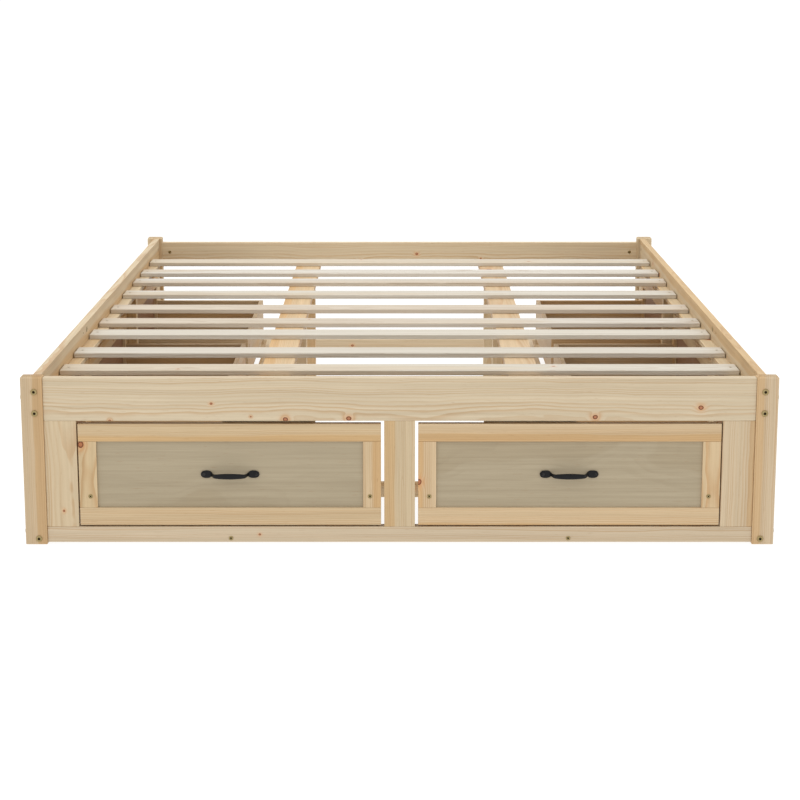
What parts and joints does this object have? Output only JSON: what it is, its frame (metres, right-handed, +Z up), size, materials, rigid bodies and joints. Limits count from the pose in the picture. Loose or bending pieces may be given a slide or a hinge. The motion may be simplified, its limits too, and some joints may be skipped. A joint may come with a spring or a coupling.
{
  "type": "platform bed with storage drawers",
  "caption": "Low pine platform bed: framed rails on square posts, a slatted mattress deck on beams and legs, and framed drawers with black bow pulls at the foot and both sides.",
  "frame": {"origin": "on the floor, at the centre of the whole bed's bounding box, pulls and bolt heads included", "axes": "+X across the bed to the right seen from the foot, +Y from foot to head, +Z up"},
  "size_m": [1.64, 2.1094, 0.376],
  "materials": {
    "pine": "sanded and unfinished, with knots and yellow-brown grain",
    "slat_pine": "planed and unfinished, paler than the frame",
    "plywood": "sanded veneer, grey-beige",
    "black_iron": "black satin",
    "zinc": "yellow zinc plate"
  },
  "bodies": {
    "frame": {"post_foot_left": "pine", "post_foot_right": "pine", "post_head_left": "pine", "post_head_right": "pine", "foot_top_rail": "pine", "foot_bottom_rail": "pine", "foot_stiles": "pine", "head_top_rail": "pine", "head_bottom_rail": "pine", "side_top_rail_left": "pine", "side_top_rail_right": "pine", "side_bottom_rails": "pine", "side_stiles": "pine", "side_panels": "plywood", "slat_ledgers": "pine", "centre_beams": "pine", "beam_supports": "pine", "drawer_runners": "pine", "frame_bolts": "zinc", "wood_screws": "zinc", "slat_01": "slat_pine", "slat_02": "slat_pine", "slat_03": "slat_pine", "slat_04": "slat_pine", "slat_05": "slat_pine", "slat_06": "slat_pine", "slat_07": "slat_pine", "slat_08": "slat_pine", "slat_09": "slat_pine", "slat_10": "slat_pine"},
    "drawer_foot_left": {"foot_left_front_frame": "pine", "foot_left_front_panel": "plywood", "foot_left_box": "pine", "foot_left_pull": "black_iron", "foot_left_screws": "zinc"},
    "drawer_foot_right": {"foot_right_front_frame": "pine", "foot_right_front_panel": "plywood", "foot_right_box": "pine", "foot_right_pull": "black_iron", "foot_right_screws": "zinc"},
    "drawer_left_near": {"left_near_front_frame": "pine", "left_near_front_panel": "plywood", "left_near_box": "pine", "left_near_pull": "black_iron", "left_near_screws": "zinc"},
    "drawer_left_far": {"left_far_front_frame": "pine", "left_far_front_panel": "plywood", "left_far_box": "pine", "left_far_pull": "black_iron", "left_far_screws": "zinc"},
    "drawer_right_near": {"right_near_front_frame": "pine", "right_near_front_panel": "plywood", "right_near_box": "pine", "right_near_pull": "black_iron", "right_near_screws": "zinc"},
    "drawer_right_far": {"right_far_front_frame": "pine", "right_far_front_panel": "plywood", "right_far_box": "pine", "right_far_pull": "black_iron", "right_far_screws": "zinc"}
  },
  "joints": [
    {"name": "foot_left_slide", "type": "slide", "parent": "frame", "child": "drawer_foot_left", "axis": [0, -1, 0], "range_m": [0, 0.28]},
    {"name": "foot_right_slide", "type": "slide", "parent": "frame", "child": "drawer_foot_right", "axis": [0, -1, 0], "range_m": [0, 0.28]},
    {"name": "left_near_slide", "type": "slide", "parent": "frame", "child": "drawer_left_near", "axis": [-1, 0, 0], "range_m": [0, 0.28]},
    {"name": "left_far_slide", "type": "slide", "parent": "frame", "child": "drawer_left_far", "axis": [-1, 0, 0], "range_m": [0, 0.28]},
    {"name": "right_near_slide", "type": "slide", "parent": "frame", "child": "drawer_right_near", "axis": [1, 0, 0], "range_m": [0, 0.28]},
    {"name": "right_far_slide", "type": "slide", "parent": "frame", "child": "drawer_right_far", "axis": [1, 0, 0], "range_m": [0, 0.28]}
  ]
}
